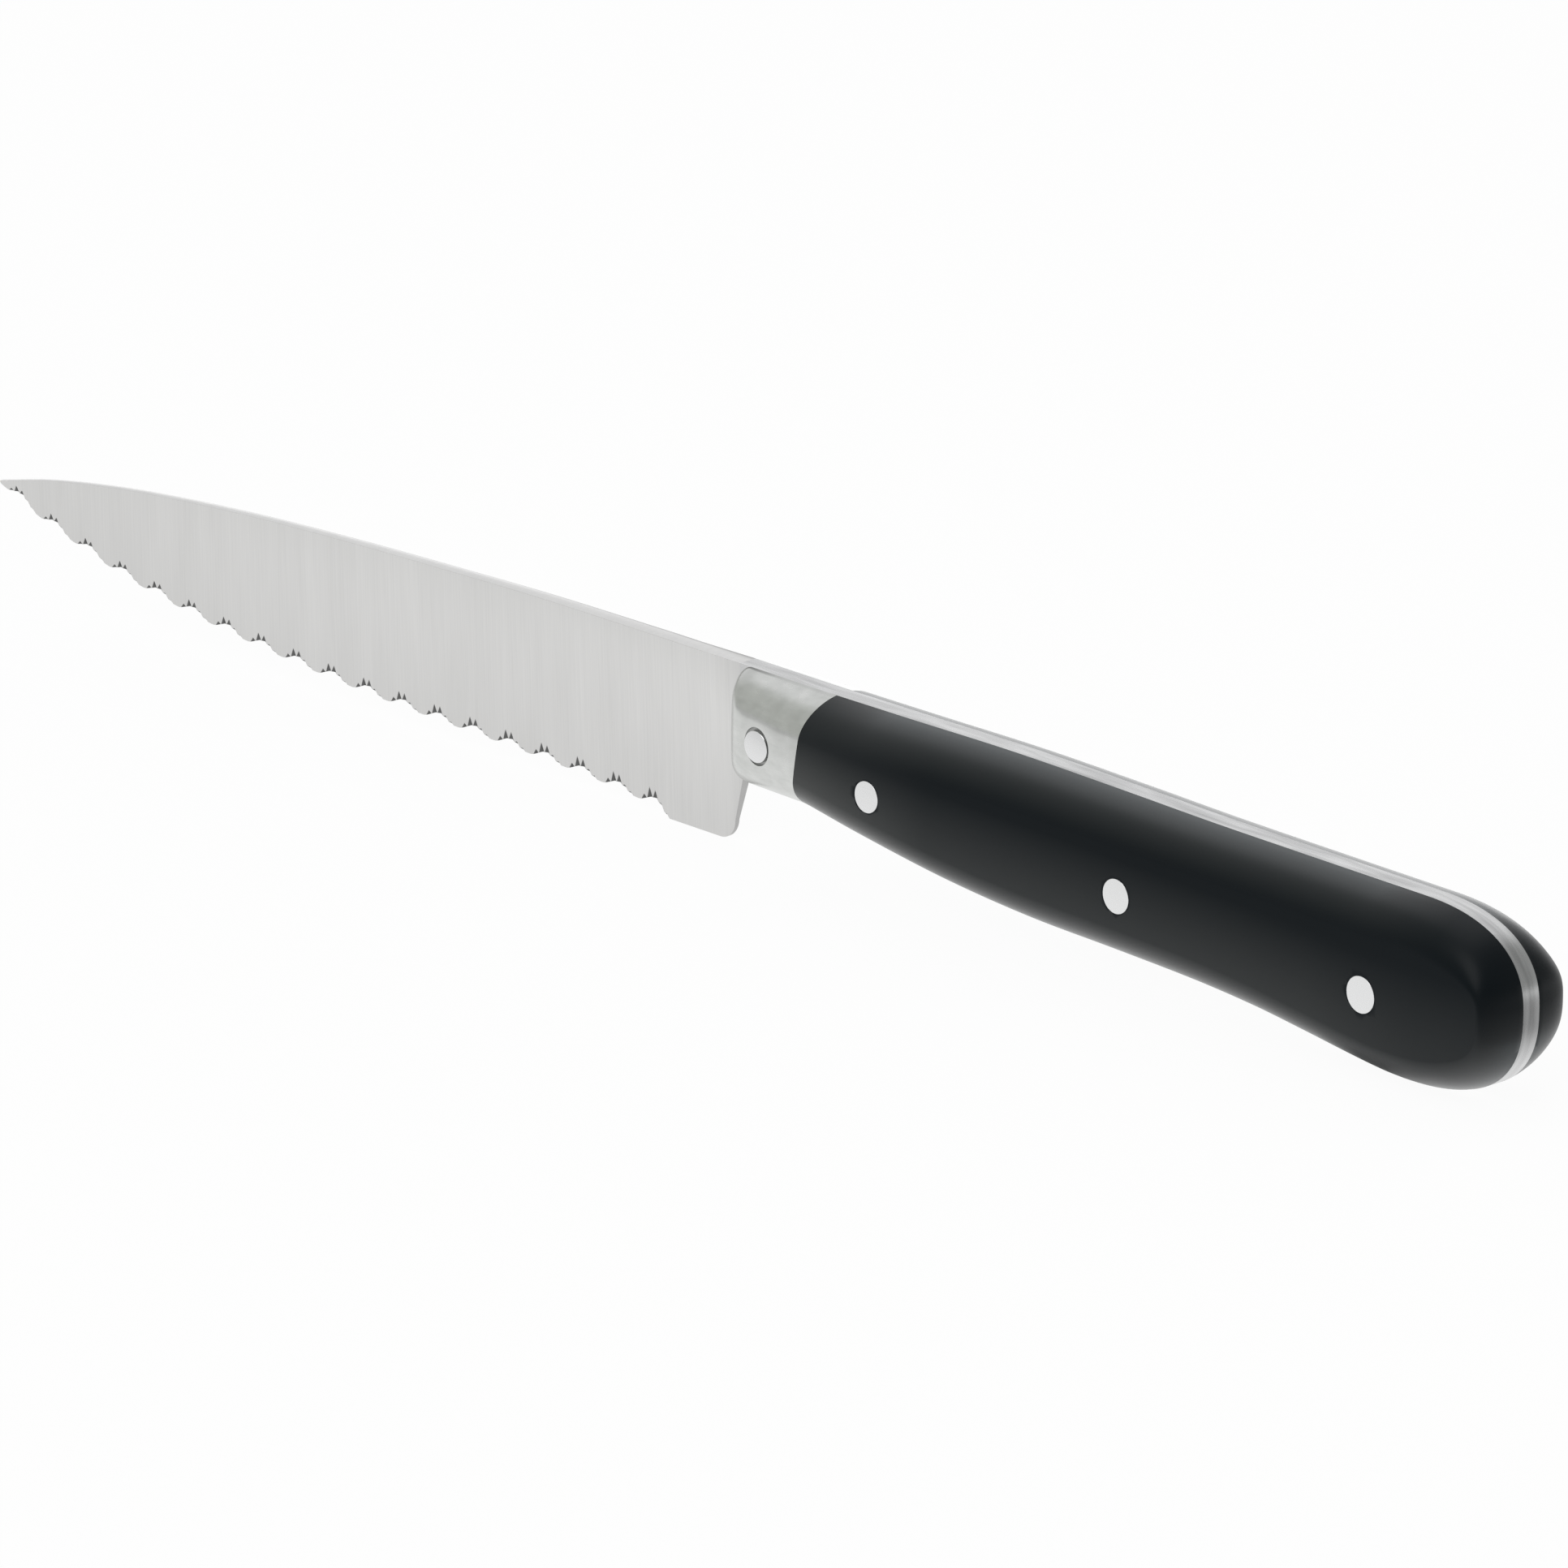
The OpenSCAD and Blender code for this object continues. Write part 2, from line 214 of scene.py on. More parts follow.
print("spine at the tip", round(float(spine_z(np.array(-blade_len))), 2), "mm, belly",
      round(float(underside_z(np.array(butt_x))), 2), "mm")

# %% [markdown]
# Every piece here is a skin over a row of closed rings, the way a boat's hull is planked over its frames.
# One helper joins ring to ring with four-sided faces and closes the two ends. It also turns millimetres
# into metres and moves the drawing's origin to the middle of the knife. Edges that turn by more than a
# set angle stay crisp, and the rest is shaded smooth.

# %% Helpers that make a skin and keep the crisp edges
crisp_angle = 32


def place_object(name, data):
    obj = bpy.data.objects.new(name, data)
    bpy.context.scene.collection.objects.link(obj)
    return obj


def values_of(things, label, width, kind=float):
    """One row of values for each vertex, face or the like."""
    values = np.empty(width * len(things), kind)
    things.foreach_get(label, values)
    return values.reshape(-1, width)


def ring_faces(rings, size):
    """Faces between neighbouring rings of equal size, each ring closed on itself."""
    k, i = np.meshgrid(np.arange(rings - 1), np.arange(size), indexing="ij")
    j = (i + 1) % size
    return np.stack([k * size + i, k * size + j, (k + 1) * size + j, (k + 1) * size + i], -1).reshape(-1, 4)


def paired_cap(size, first, flip):
    """Faces across one end, from each point to its partner counted from the ring's other end."""
    faces = []
    for i in range((size + 1) // 2 - 1):
        a, b, c, d = i, i + 1, size - 2 - i, size - 1 - i
        face = [a, b, c, d] if b < c else [a, b, d]
        faces.append([first + f for f in (face[::-1] if flip else face)])
    return faces


def show_crisp(obj, angle=crisp_angle):
    obj.data.shade_smooth()
    obj.data.set_sharp_from_angle(angle=math.radians(angle))


def add_skin(name, rings, angle=crisp_angle):
    """A closed mesh over rings of (x, y, z) points in millimetres on the drawing."""
    rings = np.asarray(rings, float)
    count, size = rings.shape[:2]
    points = (rings.reshape(-1, 3) - centre) / 1000
    faces = ring_faces(count, size).tolist()
    faces += paired_cap(size, 0, True) + paired_cap(size, (count - 1) * size, False)
    mesh = bpy.data.meshes.new(name)
    mesh.from_pydata(points.tolist(), [], faces)
    mesh.validate()
    obj = place_object(name, mesh)
    if volume_of(mesh) < 0:
        mesh.flip_normals()
    show_crisp(obj, angle)
    return obj


def volume_of(mesh):
    """Volume in cubic millimetres, which is negative when the faces point inwards."""
    mesh.calc_loop_triangles()
    corners = values_of(mesh.loop_triangles, "vertices", 3, int)
    a, b, c = values_of(mesh.vertices, "co", 3)[corners].transpose(1, 0, 2)
    return float((a * np.cross(b, c)).sum() / 6) * 1000 ** 3


def freeze(obj):
    """Turns the modifiers' result into the object's own plain mesh."""
    graph = bpy.context.evaluated_depsgraph_get()
    mesh = bpy.data.meshes.new_from_object(obj.evaluated_get(graph), depsgraph=graph)
    obj.modifiers.clear()
    obj.data = mesh
    return obj


def tell(obj):
    size = [round(1000 * v, 2) for v in obj.dimensions]
    print(f"{obj.name}: {len(obj.data.polygons)} faces, {size} mm, {volume_of(obj.data):.0f} cubic mm")


# %% [markdown]
# Shader and geometry trees both hold sums. Written as nodes they are hard to read, so a small class wraps
# one socket and lets Python's own operators add the Math nodes. The reflected forms make 1 - mask work.
# Every other node comes from one method, which takes its type, its settings and its sockets.

# %% A class that writes node maths as Python


class Wire:
    """The output of a node, which can be used in sums."""

    def __init__(self, tree, socket):
        self.tree = tree
        self.socket = socket

    def sum(self, operation, *values):
        return self.tree.node("ShaderNodeMath", {"operation": operation}, dict(enumerate(values)))

    def __add__(self, other):
        return self.sum("ADD", self, other)

    def __sub__(self, other):
        return self.sum("SUBTRACT", self, other)

    def __mul__(self, other):
        return self.sum("MULTIPLY", self, other)

    def __truediv__(self, other):
        return self.sum("DIVIDE", self, other)

    def __radd__(self, other):
        return self.sum("ADD", other, self)

    def __rsub__(self, other):
        return self.sum("SUBTRACT", other, self)

    def __rmul__(self, other):
        return self.sum("MULTIPLY", other, self)

    def __pow__(self, other):
        return self.sum("POWER", self, other)

    def __neg__(self):
        return self.sum("MULTIPLY", self, -1)

    def at_least(self, other):
        return self.sum("MAXIMUM", self, other)

    def at_most(self, other):
        return self.sum("MINIMUM", self, other)

    def clamp(self):
        return self.at_least(0).at_most(1)


class Tree:
    """A node tree with one method that adds a node."""

    def __init__(self, nodes):
        self.nodes = nodes

    def node(self, kind, settings=None, sockets=None, out=0):
        made = self.nodes.nodes.new(kind)
        for name, value in (settings or {}).items():
            setattr(made, name, value)
        for name, value in (sockets or {}).items():
            if isinstance(value, Wire):
                self.nodes.links.new(value.socket, made.inputs[name])
            else:
                made.inputs[name].default_value = value
        return Wire(self, made.outputs[out]) if made.outputs else made

    def more(self, wire, out):
        """Another output of the node that made this wire."""
        return Wire(self, wire.socket.node.outputs[out])


# %% [markdown]
# The finishes come next. All the steel of this knife is ground, so its finish is a row of fine lines in
# which the colour and the roughness waver a little. The lines are noise that is squeezed along one axis
# and stretched along another, read from Object coordinates, so they stay on the metal.

# %% Start a material


def start_material(name):
    material = bpy.data.materials.new(name)
    material.use_nodes = True
    material.node_tree.nodes.clear()
    tree = Tree(material.node_tree)
    tree.place = tree.node("ShaderNodeTexCoord", out="Object")
    return material, tree


def lines(tree, scale, detail=2.0, seed=0.0):
    """Noise that is stretched by the three scales, in features per metre."""
    place = tree.node("ShaderNodeMapping", {"vector_type": "POINT"},
                      {"Vector": tree.place, "Location": (seed, seed, seed), "Scale": scale})
    return tree.node("ShaderNodeTexNoise", {"noise_dimensions": "3D"},
                     {"Vector": place, "Scale": 1.0, "Detail": detail, "Roughness": 0.55})


def shade(tree, low, high, amount):
    """Colour between two colours, or wires with colours, by a value from 0 to 1."""
    low, high = (v if isinstance(v, Wire) else (*v, 1) for v in (low, high))
    return tree.node("ShaderNodeMix", {"data_type": "RGBA"}, {0: amount, 6: low, 7: high}, out=2)


def finish_metal(tree, colour, roughness, height, distance):
    bump = tree.node("ShaderNodeBump", None, {"Strength": 1.0, "Distance": distance, "Height": height})
    surface = tree.node("ShaderNodeBsdfPrincipled", None, {
        "Base Color": colour, "Roughness": roughness, "Normal": bump, "Metallic": 1.0})
    tree.node("ShaderNodeOutputMaterial", None, {"Surface": surface})


# %% Ground steel of the blade, the tang's edge and the bolsters
rub_spread = 0.45
grain_part, rub_part = 0.3, 0.35
grain_swing, cloud_swing, cut_rise = 0.08, 0.05, 0.2
painted_shade_gain, painted_shade_strength = 6, 0.9
painted_shade_colour = (0.07, 0.07, 0.07)
low_reach = 16


def swing(noise):
    """The noise about zero, so that it darkens as much as it lightens."""
    return noise - 0.5


def ground_steel(name, dark, light, roughness, grain, cloud, bump, patches, painted_edge_shade=0.0):
    """Steel with grinding lines. The grain and the cloud are scales along X, Y and Z."""
    material, tree = start_material(name)
    fine = lines(tree, grain, detail=3.0)
    soft = lines(tree, cloud, seed=3.7)
    rub = lines(tree, tuple(rub_spread * v for v in grain), seed=8.1)
    tone = (0.5 + patches * swing(soft) + grain_part * swing(fine) + rub_part * swing(rub)).clamp()
    # The stored painted shade darkens the colour towards a near black, and the steel is rougher there.
    ground = tree.node("ShaderNodeAttribute", {"attribute_name": "ground"}, out="Fac")
    cut = (ground * painted_shade_gain).clamp()
    rough = roughness + grain_swing * swing(fine) + cloud_swing * swing(soft) + cut_rise * cut
    # The blade is painted darker towards its edge, as painted shade.
    above = tree.node("ShaderNodeAttribute", {"attribute_name": "above_edge"}, out="Fac")
    low = painted_edge_shade * (1 - above / low_reach).clamp()
    colour = shade(tree, shade(tree, dark, light, tone), painted_shade_colour, (painted_shade_strength * cut).at_least(low))
    finish_metal(tree, colour, rough, fine, bump)
    return material


blade_finish = ground_steel(
    "blade steel", dark=(0.62, 0.618, 0.61), light=(0.85, 0.847, 0.838), roughness=0.30,
    grain=(9500, 1200, 120), cloud=(300, 60, 60), bump=1.2e-6, patches=0.4, painted_edge_shade=0.14)
tang_finish = ground_steel(
    "tang edge steel", dark=(0.43, 0.433, 0.435), light=(0.83, 0.833, 0.835), roughness=0.27,
    grain=(240, 3800, 240), cloud=(110, 1000, 110), bump=2.0e-6, patches=1.5)
bolster_finish = ground_steel(
    "bolster steel", dark=(0.50, 0.51, 0.495), light=(0.76, 0.77, 0.755), roughness=0.26,
    grain=(500, 900, 2600), cloud=(420, 420, 600), bump=1.2e-6, patches=0.9)
print("steel finishes:", blade_finish.name, tang_finish.name, bolster_finish.name)

# %% [markdown]
# The scales are black acetal plastic. It is never quite black: it has a cool tint, a satin skin with very
# fine sanding lines along the handle, and faint cloudy patches in its gloss. Its long edges are glossier,
# with a painted sheen in their colour, and its flanks are painted paler, as painted reflected light.
# Two values stored on the mesh tell the material how much.

# %% Satin black plastic
satin_rough, sanding_swing, gloss_swing = 0.42, 0.10, 0.12
cloud_part, pore_part, sanding_part = 0.45, 0.35, 0.2
deep_black, cloudy_black = (0.0010, 0.0042, 0.0066), (0.0034, 0.0068, 0.0096)
reflection_colour, reflection_part = (0.140, 0.143, 0.143), 0.5
sheen_colour, sheen_part, sheen_power = (0.095, 0.122, 0.132), 0.4, 8
pore_depth, line_depth, skin_depth = 0.6, 0.4, 6.0e-6
coat_part, coat_rough, shine = 0.9, 0.3, 0.10


def satin_plastic(name):
    material, tree = start_material(name)
    gloss_and_sheen = tree.node("ShaderNodeAttribute", {"attribute_name": "gloss_and_sheen"}, out="Fac")
    painted_reflection = tree.node("ShaderNodeAttribute", {"attribute_name": "painted_reflection"}, out="Fac")
    sanding = lines(tree, (260, 2600, 4200), detail=3.0)
    cloud = lines(tree, (45, 60, 70), detail=3.0, seed=5.2)
    pores = lines(tree, (5200, 5200, 5200), seed=1.3)
    rough = satin_rough + sanding_swing * swing(sanding) + gloss_swing * swing(cloud)
    tone = (cloud_part * cloud + pore_part * pores + sanding_part * sanding).clamp()
    colour = shade(tree, deep_black, cloudy_black, tone)
    # Painted reflected light makes the flank paler, most below and at the front.
    colour = shade(tree, colour, reflection_colour, reflection_part * painted_reflection)
    # A painted sheen lightens the glossy edges.
    colour = shade(tree, colour, sheen_colour, sheen_part * gloss_and_sheen ** sheen_power)
    height = pore_depth * pores + line_depth * sanding
    bump = tree.node("ShaderNodeBump", None, {"Strength": 1.0, "Distance": skin_depth, "Height": height})
    surface = tree.node("ShaderNodeBsdfPrincipled", None, {
        "Base Color": colour, "Roughness": rough, "Normal": bump, "Coat Weight": coat_part * gloss_and_sheen,
        "Coat Roughness": coat_rough, "Specular IOR Level": shine, "IOR": 1.5})
    tree.node("ShaderNodeOutputMaterial", None, {"Surface": surface})
    return material


scale_finish = satin_plastic("satin black plastic")

# %% [markdown]
# The rivets are a paler metal, sanded flush with the handle. The sanding leaves short straight lines in
# one direction over the whole head, so the lines follow the handle and not the rivet.

# %% Sanded rivet metal
head_rough, line_swing, patch_swing = 0.27, 0.14, 0.08
line_part, patch_part = 0.55, 0.45
dull_metal, bright_metal = (0.76, 0.765, 0.77), (0.86, 0.862, 0.862)
scratch_depth = 2.5e-6


def sanded_metal(name):
    material, tree = start_material(name)
    sanding = lines(tree, (420, 3000, 5200), detail=3.0)
    cloud = lines(tree, (700, 700, 700), seed=2.4)
    tone = (line_part * sanding + patch_part * cloud).clamp()
    rough = head_rough + line_swing * swing(sanding) + patch_swing * swing(cloud)
    finish_metal(tree, shade(tree, dull_metal, bright_metal, tone), rough, sanding, scratch_depth)
    return material


rivet_finish = sanded_metal("sanded rivet metal")
print("other finishes:", scale_finish.name, rivet_finish.name)

# %% [markdown]
# The steel is one piece from the tip to the butt. Its section is a wedge in the blade and a plain bar in
# the tang, so it can be one skin over sections across the knife. The sections are close together where
# the serration will be cut, and they follow the curve where the heel and the butt turn quickly.

# %% Places of the steel's sections along X
tip_places = np.array([0, 0.04, 0.12, 0.25, 0.45, 0.7, 1.0])
teeth_step = 0.09
teeth_past = 0.5
heel_gap = 0.3
heel_steps = 16
back_steps = 8
handle_step = 1.2
turn_steps = 26
turn_crowding = 0.8
butt_end = 1 - 1e-5


def section_places():
    tip = -blade_len + tip_places
    teeth = np.arange(tip[-1] + teeth_step, -heel_plain + teeth_past, teeth_step)
    heel = np.linspace(teeth[-1] + heel_gap, -heel_lean - heel_round, heel_steps)
    turns = np.linspace(0, math.pi / 2, heel_steps)[1:]
    corner = -heel_lean - heel_round + heel_round * np.sin(turns)
    back = np.linspace(-heel_lean, 0, back_steps)[1:]
    grip = np.arange(handle_step, butt_x, handle_step)
    ends = np.sin(np.linspace(0, math.pi / 2, turn_steps)) ** turn_crowding
    butt = butt_x + butt_len * np.append(ends[:-1], butt_end)
    return np.concatenate([tip, teeth, heel, corner, back]), np.concatenate([[0.0], grip, butt])


blade_places, tang_places = section_places()
print("sections:", len(blade_places), "in the blade and", len(tang_places), "in the tang")

# %% Outline of the tang at any place, with the rounded butt


def tang_lines(x):
    along = ramp(x, butt_x, butt_len)
    top_depth = butt_z + top_z(np.array(butt_x))
    top_butt = -butt_z + top_depth * (1 - along ** butt_power_top) ** (1 / butt_power_top)
    low_butt = -butt_z - (belly_depth - butt_z) * (1 - along ** butt_power_low) ** (1 / butt_power_low)
    return np.where(x > butt_x, top_butt, top_z(x)), np.where(x > butt_x, low_butt, underside_z(x))


print("tang at the middle rivet:", [round(float(z), 2) for z in tang_lines(rivet_xs["middle_rivet"])], "mm")

# %% [markdown]
# Each section has a row of points up its near face and a row down its far face. The rows lie close
# together in a band along the edge, because the serration is cut there. Three values are stored on every
# point for that cut: how far it lies above the edge, how much of the cut it takes, and on which face it is.
# A fourth value is painted shade: on the back of the heel, on the spine's far corner and on a little
# of the blade in front of the bolster.

# %% Make the steel's sections
band = 2.6
band_limit = 0.75
heel_tone, heel_tone_x = 0.07, -heel_lean - 0.4 * heel_round
shadow_tone, shadow_run = 0.016, 5
spine_tones = 0.1 * np.array([0.2, 1])
spine_tone_x, spine_tone_run, spine_tone_least = -45, 35, 0.3
near_rows = np.array([0, 0.1, 0.2, 0.3, 0.42, 0.55, 0.7, 0.85, 1.0, 1.2, 1.4, 1.65, 1.95, 2.3]) / band
far_rows = np.array([0, 0.3, 0.8, 1.6]) / band
upper_rows = np.linspace(0, 1, 8)
corner_cut = 0.02
top_shares = np.linspace(-1, 1, 5)
top_crown = 0.1
crown_run = 8.0


def face_heights(rows, low, high):
    """Heights of a face's points: the band's rows, then even steps up to the spine."""
    reach = min(band, band_limit * (high - low))
    in_band = low + rows * reach
    above = mix(low + reach, high, upper_rows)
    shares = np.concatenate([1 - rows, 0 * upper_rows])
    return np.concatenate([in_band, above]), shares


def steel_section(x, low, high, half_top, half_low):
    """One section as points with the values for the cut. Only the blade's spine is crowned."""
    rounded = ramp(-x, 0, crown_run) * half_top / half_steel
    cut, drop = corner_cut * rounded, top_crown * rounded
    near_z, near_share = face_heights(near_rows, low, high - drop - cut)
    far_z, far_share = face_heights(far_rows, low, high - drop - cut)
    near_y = -mix(half_low, half_top, (near_z - low) / (high - low))
    far_y = mix(half_low, half_top, (far_z - low) / (high - low))
    top_y = top_shares * (half_top - cut)
    y = np.concatenate([near_y, top_y, far_y[::-1]])
    z = np.concatenate([near_z, high - drop * top_shares ** 2, far_z[::-1]])
    share = np.concatenate([near_share, 0 * top_y, far_share[::-1]])
    near = np.concatenate([np.ones(len(near_y)), 0 * top_y, np.zeros(len(far_y))])
    # Painted shade on the heel's back, on the blade in front of the bolster and on the spine's far corner.
    back = np.zeros(len(y))
    back[[0, -1]] = heel_tone * (x > heel_tone_x)
    shadow = shadow_tone * ramp(x, -shadow_run, shadow_run)
    back[:len(near_y)] += shadow * (near_z - low) / (high - low)
    spine_end = len(near_y) + len(top_y)
    spine_share = max(ramp(x, spine_tone_x, spine_tone_run), spine_tone_least)
    back[spine_end - 2:spine_end] = spine_tones * spine_share
    return np.stack([np.full(len(y), x), y, z], 1), np.stack([z - low, share, near, back], 1)


def wedge_section(x):
    """A section of the blade, a wedge from the spine down to the edge."""
    top = float(spine_z(x))
    low = float(heel_z(x))
    half_top = mix(tip_t, steel_t, (x + blade_len) / blade_len) / 2
    slope = (half_top - edge_t / 2) / (top - float(edge_z(x)))
    return steel_section(x, low, top, half_top, half_top - slope * (top - low))


def tang_section(x):
    high, low = (float(v) for v in tang_lines(np.array(x)))
    return steel_section(x, low, high, half_steel, half_steel)


sections = [wedge_section(x) for x in blade_places] + [tang_section(x) for x in tang_places]
steel = add_skin("steel", [s[0] for s in sections])
cut_values = np.concatenate([s[1] for s in sections])
tell(steel)

# %% Store the values for the cut on the mesh


def store(obj, name, values):
    layer = obj.data.attributes.new(name, "FLOAT", "POINT")
    layer.data.foreach_set("value", np.ascontiguousarray(values, np.float32))


in_blade = np.repeat([1.0] * len(blade_places) + [0.0] * len(tang_places), len(sections[0][0]))
store(steel, "above_edge", cut_values[:, 0])
store(steel, "cut_share", cut_values[:, 1] * in_blade)
store(steel, "near_face", cut_values[:, 2] * in_blade)
store(steel, "ground", cut_values[:, 3] * in_blade)
print("points that the cut can move:", int((cut_values[:, 1] * in_blade > 0).sum()))

# %% [markdown]
# The serration repeats along the edge: nineteen soft arches with rounded lobes between them, each with
# five fine grooves that were ground into the near face only. A Geometry Nodes tree makes them from a few
# named sizes, so that another pitch or depth is one number away. For each point it finds the nearest
# arch, lifts the edge onto one wave of a cosine, and then presses the near face in along the grooves.
# How far a groove went in is stored as well, as painted shade: the steel is rougher in there and painted
# darker.

# %% Helpers that make a geometry tree with named inputs


def start_shape_tree(name, inputs):
    """A geometry tree with an input for each name, of the kind of its value. Integers make whole-number
    inputs.
    """
    nodes = bpy.data.node_groups.new(name, "GeometryNodeTree")
    nodes.interface.new_socket("Geometry", in_out="INPUT", socket_type="NodeSocketGeometry")
    nodes.interface.new_socket("Geometry", in_out="OUTPUT", socket_type="NodeSocketGeometry")
    kinds = {int: "NodeSocketInt", bpy.types.Material: "NodeSocketMaterial"}
    for label, value in inputs.items():
        kind = kinds.get(type(value), "NodeSocketFloat")
        nodes.interface.new_socket(label, in_out="INPUT", socket_type=kind)
    tree = Tree(nodes)
    start = tree.node("NodeGroupInput")
    tree.inputs = {label: tree.more(start, label) for label in ["Geometry", *inputs]}
    return tree


def end_shape_tree(tree, geometry):
    real = tree.node("GeometryNodeRealizeInstances", None, {"Geometry": geometry})
    painted = tree.node("GeometryNodeSetMaterial", None,
                        {"Geometry": real, "Material": tree.inputs["Material"]})
    tree.node("NodeGroupOutput", None, {"Geometry": painted})


def run_tree(obj, tree, values):
    """Sets the tree's inputs by their identifiers, runs it and keeps the result as a plain mesh."""
    modifier = obj.modifiers.new("shape", "NODES")
    modifier.node_group = tree.nodes
    for item in tree.nodes.interface.items_tree:
        if item.in_out == "INPUT" and item.name in values:
            modifier[item.identifier] = values[item.name]
    return freeze(obj)


# %% The serration's tree
groove_shares = [0.45, 1, 0.8, 0.3, 0.2]
serration_sizes = {
    "First arch": float(-blade_len + tip_plain + arch_w / 2 - centre[0]) / 1000,
    "Pitch": (blade_len - heel_plain - tip_plain - arch_w) / (arch_count - 1) / 1000,
    "Count": arch_count,
    "Arch width": arch_w / 1000,
    "Arch depth": arch_depth / 1000,
    "Heel step": heel_step / 1000,
    "Groove pitch": 0.85 / 1000,
    "Groove shift": 0.2 / 1000,
    "Groove width": 0.85 / 1000,
    "Groove depth": 0.2 / 1000,
    "Groove height": 1.25 / 1000,
    "Tip share": 0.62,
    **{f"Groove {k + 1}": float(share) for k, share in enumerate(groove_shares)},
    "Material": blade_finish,
}


def serration_tree():
    tree = start_shape_tree("serration", serration_sizes)
    size = tree.inputs

    def stored(name):
        return tree.node("GeometryNodeInputNamedAttribute", {"data_type": "FLOAT"}, {"Name": name})

    place = tree.node("ShaderNodeSeparateXYZ", None, {0: tree.node("GeometryNodeInputPosition")})
    last = size["Count"] - 1
    along = (place - size["First arch"]) / size["Pitch"]
    number = along.sum("ROUND", along).at_least(0).at_most(last)
    u = place - size["First arch"] - number * size["Pitch"]
    out = (u.sum("ABSOLUTE", u) * 2 / size["Arch width"]).at_most(1)
    turn = out * math.pi
    wave = (1 + turn.sum("COSINE", turn)) / 2
    in_heel = along.sum("GREATER_THAN", along, last)
    cut = size["Arch depth"] * wave + size["Heel step"] * (wave - 1 + out) * in_heel
    share = stored("cut_share")
    lift = cut * share

    height = stored("above_edge") / 1000 - cut * (1 - share)
    reach = size["Groove height"] * (size["Tip share"] + (1 - size["Tip share"]) * number / last)
    press = None
    for k in range(len(groove_shares)):
        across = u - size["Groove shift"] - size["Groove pitch"] * (k - (len(groove_shares) - 1) / 2)
        side = across.sum("ABSOLUTE", across) * 2 / size["Groove width"]
        deep = (1 - height / (reach * size[f"Groove {k + 1}"]) - side).at_least(0).at_most(1)
        press = press.at_least(deep) if press else deep
    press = press * stored("near_face")

    move = tree.node("ShaderNodeCombineXYZ", None, {1: press * size["Groove depth"], 2: lift})
    moved = tree.node("GeometryNodeSetPosition", None, {"Geometry": size["Geometry"], "Offset": move})
    # How far a groove went in joins the painted shade, so the grooves are painted darker.
    marked = tree.node("GeometryNodeStoreNamedAttribute", {"data_type": "FLOAT", "domain": "POINT"},
                       {"Geometry": moved, "Name": "ground", "Value": press.at_least(stored("ground"))})
    end_shape_tree(tree, marked)
    return tree


run_tree(steel, serration_tree(), serration_sizes)
tell(steel)

# %% [markdown]
# The steel gets two finishes. The blade is ground across its length. The narrow edge of the tang was
# sanded along with the scales, so its lines run the other way. A face's place decides which it gets.

# %% Give the steel its two finishes
tang_start = 0.01
steel.data.materials.clear()
for finish in (blade_finish, tang_finish):
    steel.data.materials.append(finish)
behind = values_of(steel.data.polygons, "center", 3)[:, 0] > (tang_start - centre[0]) / 1000
steel.data.polygons.foreach_set("material_index", behind.astype(np.int32))
steel.data.update()
print("faces of the blade and of the tang:", int((~behind).sum()), int(behind.sum()))

show_crisp(steel, angle=24)
for layer in ("cut_share", "near_face"):
    steel.data.attributes.remove(steel.data.attributes[layer])
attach(steel, "root")
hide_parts("blade")

# %% [markdown]
# A scale is a flat slab whose long edges are rounded by hand to a quarter of an ellipse, so it is a row of
# outlines that shrink towards the flank. Each outline is the handle's own line, moved inwards along its
# normal. The front end is a plane that leans back, where the bolster's end leans the same way. Sanding
# by hand leaves the flank a few tenths of a millimetre lower at its edges, which shows in its gloss.

# %% Outline of a scale and its rounding
grip_steps = 120
butt_steps = 44
round_steps = 26
seam_cut = 0.01


def seam_x(z, gap):
    """Place of the leaning face between bolster and scale at a height."""
    return bolster_len + gap + seam_slope * (z + bolster_depth / 2)


def quarter(depth, power):
    """From where the butt starts to its end, as a quarter of a superellipse."""
    turns = np.linspace(0, math.pi / 2, butt_steps)
    return np.stack([butt_x + butt_len * np.sin(turns) ** (2 / power),
                     -butt_z + depth * np.abs(np.cos(turns)) ** (2 / power)], 1)


def scale_outline(top_start, low_start):
    """Along the top, round the butt and back along the underside."""
    steps = np.linspace(0, 1, grip_steps, endpoint=False)
    top_x, low_x = mix(top_start, butt_x, steps), mix(low_start, butt_x, steps)
    top = np.stack([top_x, top_z(top_x)], 1)
    low = np.stack([low_x, underside_z(low_x)], 1)[::-1]
    top_depth = butt_z + float(top_z(np.array(butt_x)))
    return np.concatenate([top, quarter(top_depth, butt_power_top),
                           quarter(butt_z - belly_depth, butt_power_low)[-2::-1], low])


def shrink(outline, drop):
    """The outline moved inwards, more at the top and underside than at the butt."""
    run = np.gradient(outline, axis=0)
    normal = np.stack([-run[:, 1], run[:, 0]], 1) / np.linalg.norm(run, axis=1)[:, None]
    amount = drop * np.hypot(end_round * normal[:, 0], side_round * normal[:, 1])
    return outline - amount[:, None] * normal


def scale_ring(turn, extra=0.0):
    """The outline where the rounding has come to this turn."""
    drop = math.cos(steel_turn) - math.cos(turn)
    inset = side_round * drop + extra
    outline = scale_outline(seam_x(-inset, seam_gap), seam_x(-bolster_depth + inset, seam_gap))
    flat = shrink(outline, drop + extra / side_round)
    for end in (0, -1):
        flat[end, 0] = seam_x(flat[end, 1], seam_gap)
    return np.stack([flat[:, 0], np.full(len(flat), half_handle * math.sin(turn)), flat[:, 1]], 1)


